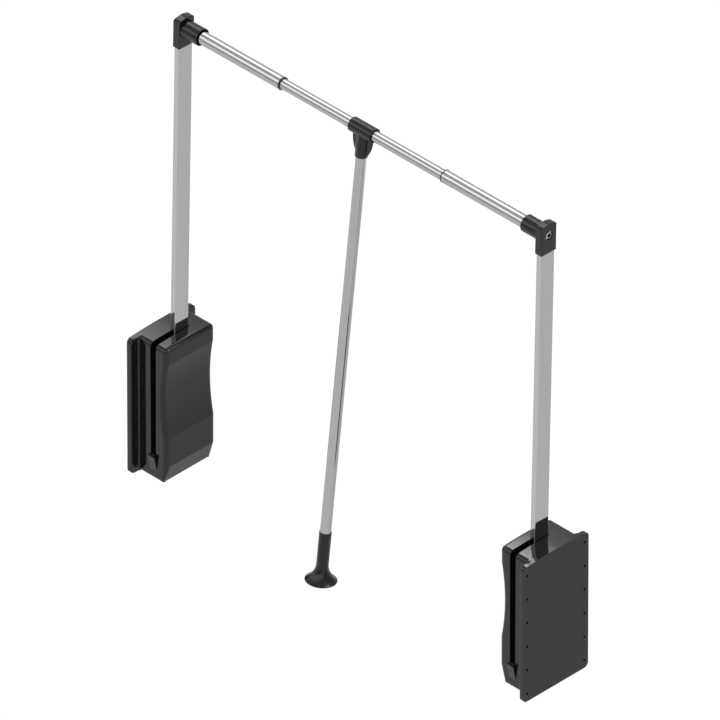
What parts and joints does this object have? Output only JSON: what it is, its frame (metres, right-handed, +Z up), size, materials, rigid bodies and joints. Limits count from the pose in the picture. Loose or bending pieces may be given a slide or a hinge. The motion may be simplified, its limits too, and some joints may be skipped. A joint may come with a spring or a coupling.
{
  "type": "pull down closet rod",
  "caption": "Telescopic hanging rail on swinging arms with wall housings, spring struts and a hanging pull rod; pulls forward and down for reach.",
  "frame": {"origin": "where the swing axis of the arms meets the wall face of the left housing", "axes": "+X along the swing axis to the right housing, -Y towards the user, +Z up"},
  "size_m": [0.8785, 0.1773, 0.8526],
  "materials": {
    "gloss_black_plastic": "gloss moulded",
    "satin_black_plastic": "satin moulded",
    "polished_steel": "mirror polished",
    "chrome": "bright plated",
    "zinc_steel": "zinc plated",
    "dark_steel": "blackened",
    "black_painted_steel": "satin paint",
    "bronze": "sintered",
    "rubber": "matte"
  },
  "bodies": {
    "left_housing": {"left_wall_base": "satin_black_plastic", "left_housing_shell": "gloss_black_plastic", "left_chassis_plate": "zinc_steel", "left_cheek_plate": "zinc_steel", "left_pivot_shaft": "dark_steel", "left_shaft_circlip": "dark_steel", "left_strut_cylinder": "black_painted_steel", "left_strut_pin": "zinc_steel", "left_up_buffer": "rubber", "left_rest_pad": "rubber", "left_spacer_post_1": "zinc_steel", "left_spacer_post_2": "zinc_steel", "left_spacer_post_3": "zinc_steel", "left_chassis_screw_1": "zinc_steel", "left_chassis_screw_2": "zinc_steel"},
    "left_strut": {"left_strut_rod": "chrome", "left_strut_carriage": "satin_black_plastic"},
    "left_arm": {"left_arm_root": "zinc_steel", "left_crank_pin": "dark_steel", "left_hub_bush_inner": "bronze", "left_hub_bush_outer": "bronze", "left_arm_tube": "polished_steel", "left_end_bracket": "gloss_black_plastic", "left_bracket_bolt": "zinc_steel", "left_outer_tube": "chrome", "left_tube_plug": "satin_black_plastic", "left_mouth_ring": "satin_black_plastic"},
    "rail_centre": {"inner_tube": "chrome"},
    "pull_handle": {"tee_piece": "gloss_black_plastic", "pull_rod": "polished_steel", "foot_grip": "gloss_black_plastic"},
    "right_arm": {"right_arm_root": "zinc_steel", "right_crank_pin": "dark_steel", "right_hub_bush_inner": "bronze", "right_hub_bush_outer": "bronze", "right_arm_tube": "polished_steel", "right_end_bracket": "gloss_black_plastic", "right_bracket_bolt": "zinc_steel", "right_outer_tube": "chrome", "right_tube_plug": "satin_black_plastic", "right_mouth_ring": "satin_black_plastic"},
    "right_housing": {"right_wall_base": "satin_black_plastic", "right_housing_shell": "gloss_black_plastic", "right_chassis_plate": "zinc_steel", "right_cheek_plate": "zinc_steel", "right_pivot_shaft": "dark_steel", "right_shaft_circlip": "dark_steel", "right_strut_cylinder": "black_painted_steel", "right_strut_pin": "zinc_steel", "right_up_buffer": "rubber", "right_rest_pad": "rubber", "right_spacer_post_1": "zinc_steel", "right_spacer_post_2": "zinc_steel", "right_spacer_post_3": "zinc_steel", "right_chassis_screw_1": "zinc_steel", "right_chassis_screw_2": "zinc_steel"},
    "right_strut": {"right_strut_rod": "chrome", "right_strut_carriage": "satin_black_plastic"}
  },
  "joints": [
    {"name": "lift", "type": "hinge", "parent": "left_housing", "child": "left_arm", "pos_m": [0, 0, 0], "axis": [1, 0, 0], "range_deg": [0, 101], "stiffness_Nm_per_rad": 8, "springref_deg": -68.75},
    {"name": "left_telescope", "type": "slide", "parent": "left_arm", "child": "rail_centre", "axis": [1, 0, 0], "range_m": [-0.0235, 0.1365]},
    {"name": "rod_swing", "type": "hinge", "parent": "rail_centre", "child": "pull_handle", "pos_m": [0.43925, 0.01629, 0.75882], "axis": [1, 0, 0], "continuous": true},
    {"name": "right_telescope", "type": "slide", "parent": "rail_centre", "child": "right_arm", "axis": [1, 0, 0], "range_m": [-0.0235, 0.1365]},
    {"name": "right_pivot", "type": "hinge", "parent": "right_arm", "child": "right_housing", "pos_m": [0.8785, 0, 0], "axis": [1, 0, 0], "range_deg": [-101.5, 0.5]},
    {"name": "left_strut_slide", "type": "slide", "parent": "left_housing", "child": "left_strut", "axis": [0, 0, 1], "range_m": [-0.0001, 0.0496]},
    {"name": "right_strut_slide", "type": "slide", "parent": "right_housing", "child": "right_strut", "axis": [0, 0, 1], "range_m": [-0.0001, 0.0496]}
  ],
  "couplings": [
    {"joint": "right_pivot", "follows": "lift", "ratio": -1},
    {"joint": "left_strut_slide", "follows": "lift", "m_per_rad": 0.028015},
    {"joint": "right_strut_slide", "follows": "lift", "m_per_rad": 0.028015}
  ]
}
